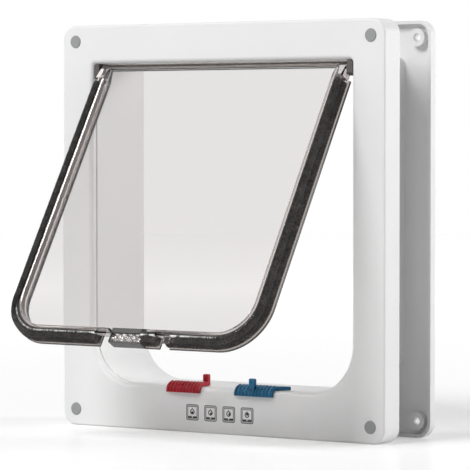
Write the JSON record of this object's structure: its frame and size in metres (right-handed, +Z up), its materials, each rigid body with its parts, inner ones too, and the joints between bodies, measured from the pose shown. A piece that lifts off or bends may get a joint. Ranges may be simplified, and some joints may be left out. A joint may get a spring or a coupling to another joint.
{
  "type": "cat flap",
  "caption": "Pet door with telescoping front and rear frames, a clear flap hinged at the top with a pile edge and a magnet, and sliding locks on the sill.",
  "frame": {"origin": "centre of the four screw holes, on the plane where the front frame meets the door", "axes": "+Y into the door along the screws, +Z up, +X to the right seen from the front"},
  "size_m": [0.24, 0.1535, 0.25],
  "materials": {
    "white_plastic": "white moulded plastic, fine satin texture",
    "grey_plastic": "mid grey moulded plugs",
    "dark_plastic": "dark smoky moulded plastic",
    "clear_plastic": "clear polished plastic, smoky in thick parts",
    "pile": "dense dark pile",
    "magnet": "bright plated magnet",
    "steel": "drawn steel rod",
    "red_plastic": "deep red moulded plastic",
    "blue_plastic": "mid blue moulded plastic"
  },
  "bodies": {
    "front": {"front_frame": "white_plastic", "hinge_bracket_left": "dark_plastic", "hinge_bracket_right": "dark_plastic", "screw_cap_top_left": "grey_plastic", "screw_cap_top_right": "grey_plastic", "screw_cap_bottom_left": "grey_plastic", "screw_cap_bottom_right": "grey_plastic", "frame_magnet": "magnet", "magnet_retainer": "white_plastic"},
    "rear": {"rear_frame": "white_plastic"},
    "flap": {"flap_panel": "clear_plastic", "hinge_rod": "steel", "pile_strip_left": "pile", "pile_strip_centre": "pile", "pile_strip_right": "pile", "flap_magnet": "magnet", "magnet_cover": "clear_plastic"},
    "red_slider": {"red_lock": "red_plastic"},
    "blue_slider": {"blue_lock": "blue_plastic"}
  },
  "joints": [
    {"name": "flap_hinge", "type": "hinge", "parent": "front", "child": "flap", "pos_m": [0, -0.0105, 0.0982], "axis": [1, 0, 0], "range_deg": [-44, 106]},
    {"name": "rear_telescope", "type": "slide", "parent": "front", "child": "rear", "axis": [0, 1, 0], "range_m": [0, 0.02]},
    {"name": "red_lock_slide", "type": "slide", "parent": "front", "child": "red_slider", "axis": [1, 0, 0], "range_m": [-0.006, 0]},
    {"name": "blue_lock_slide", "type": "slide", "parent": "front", "child": "blue_slider", "axis": [1, 0, 0], "range_m": [0, 0.006]}
  ]
}
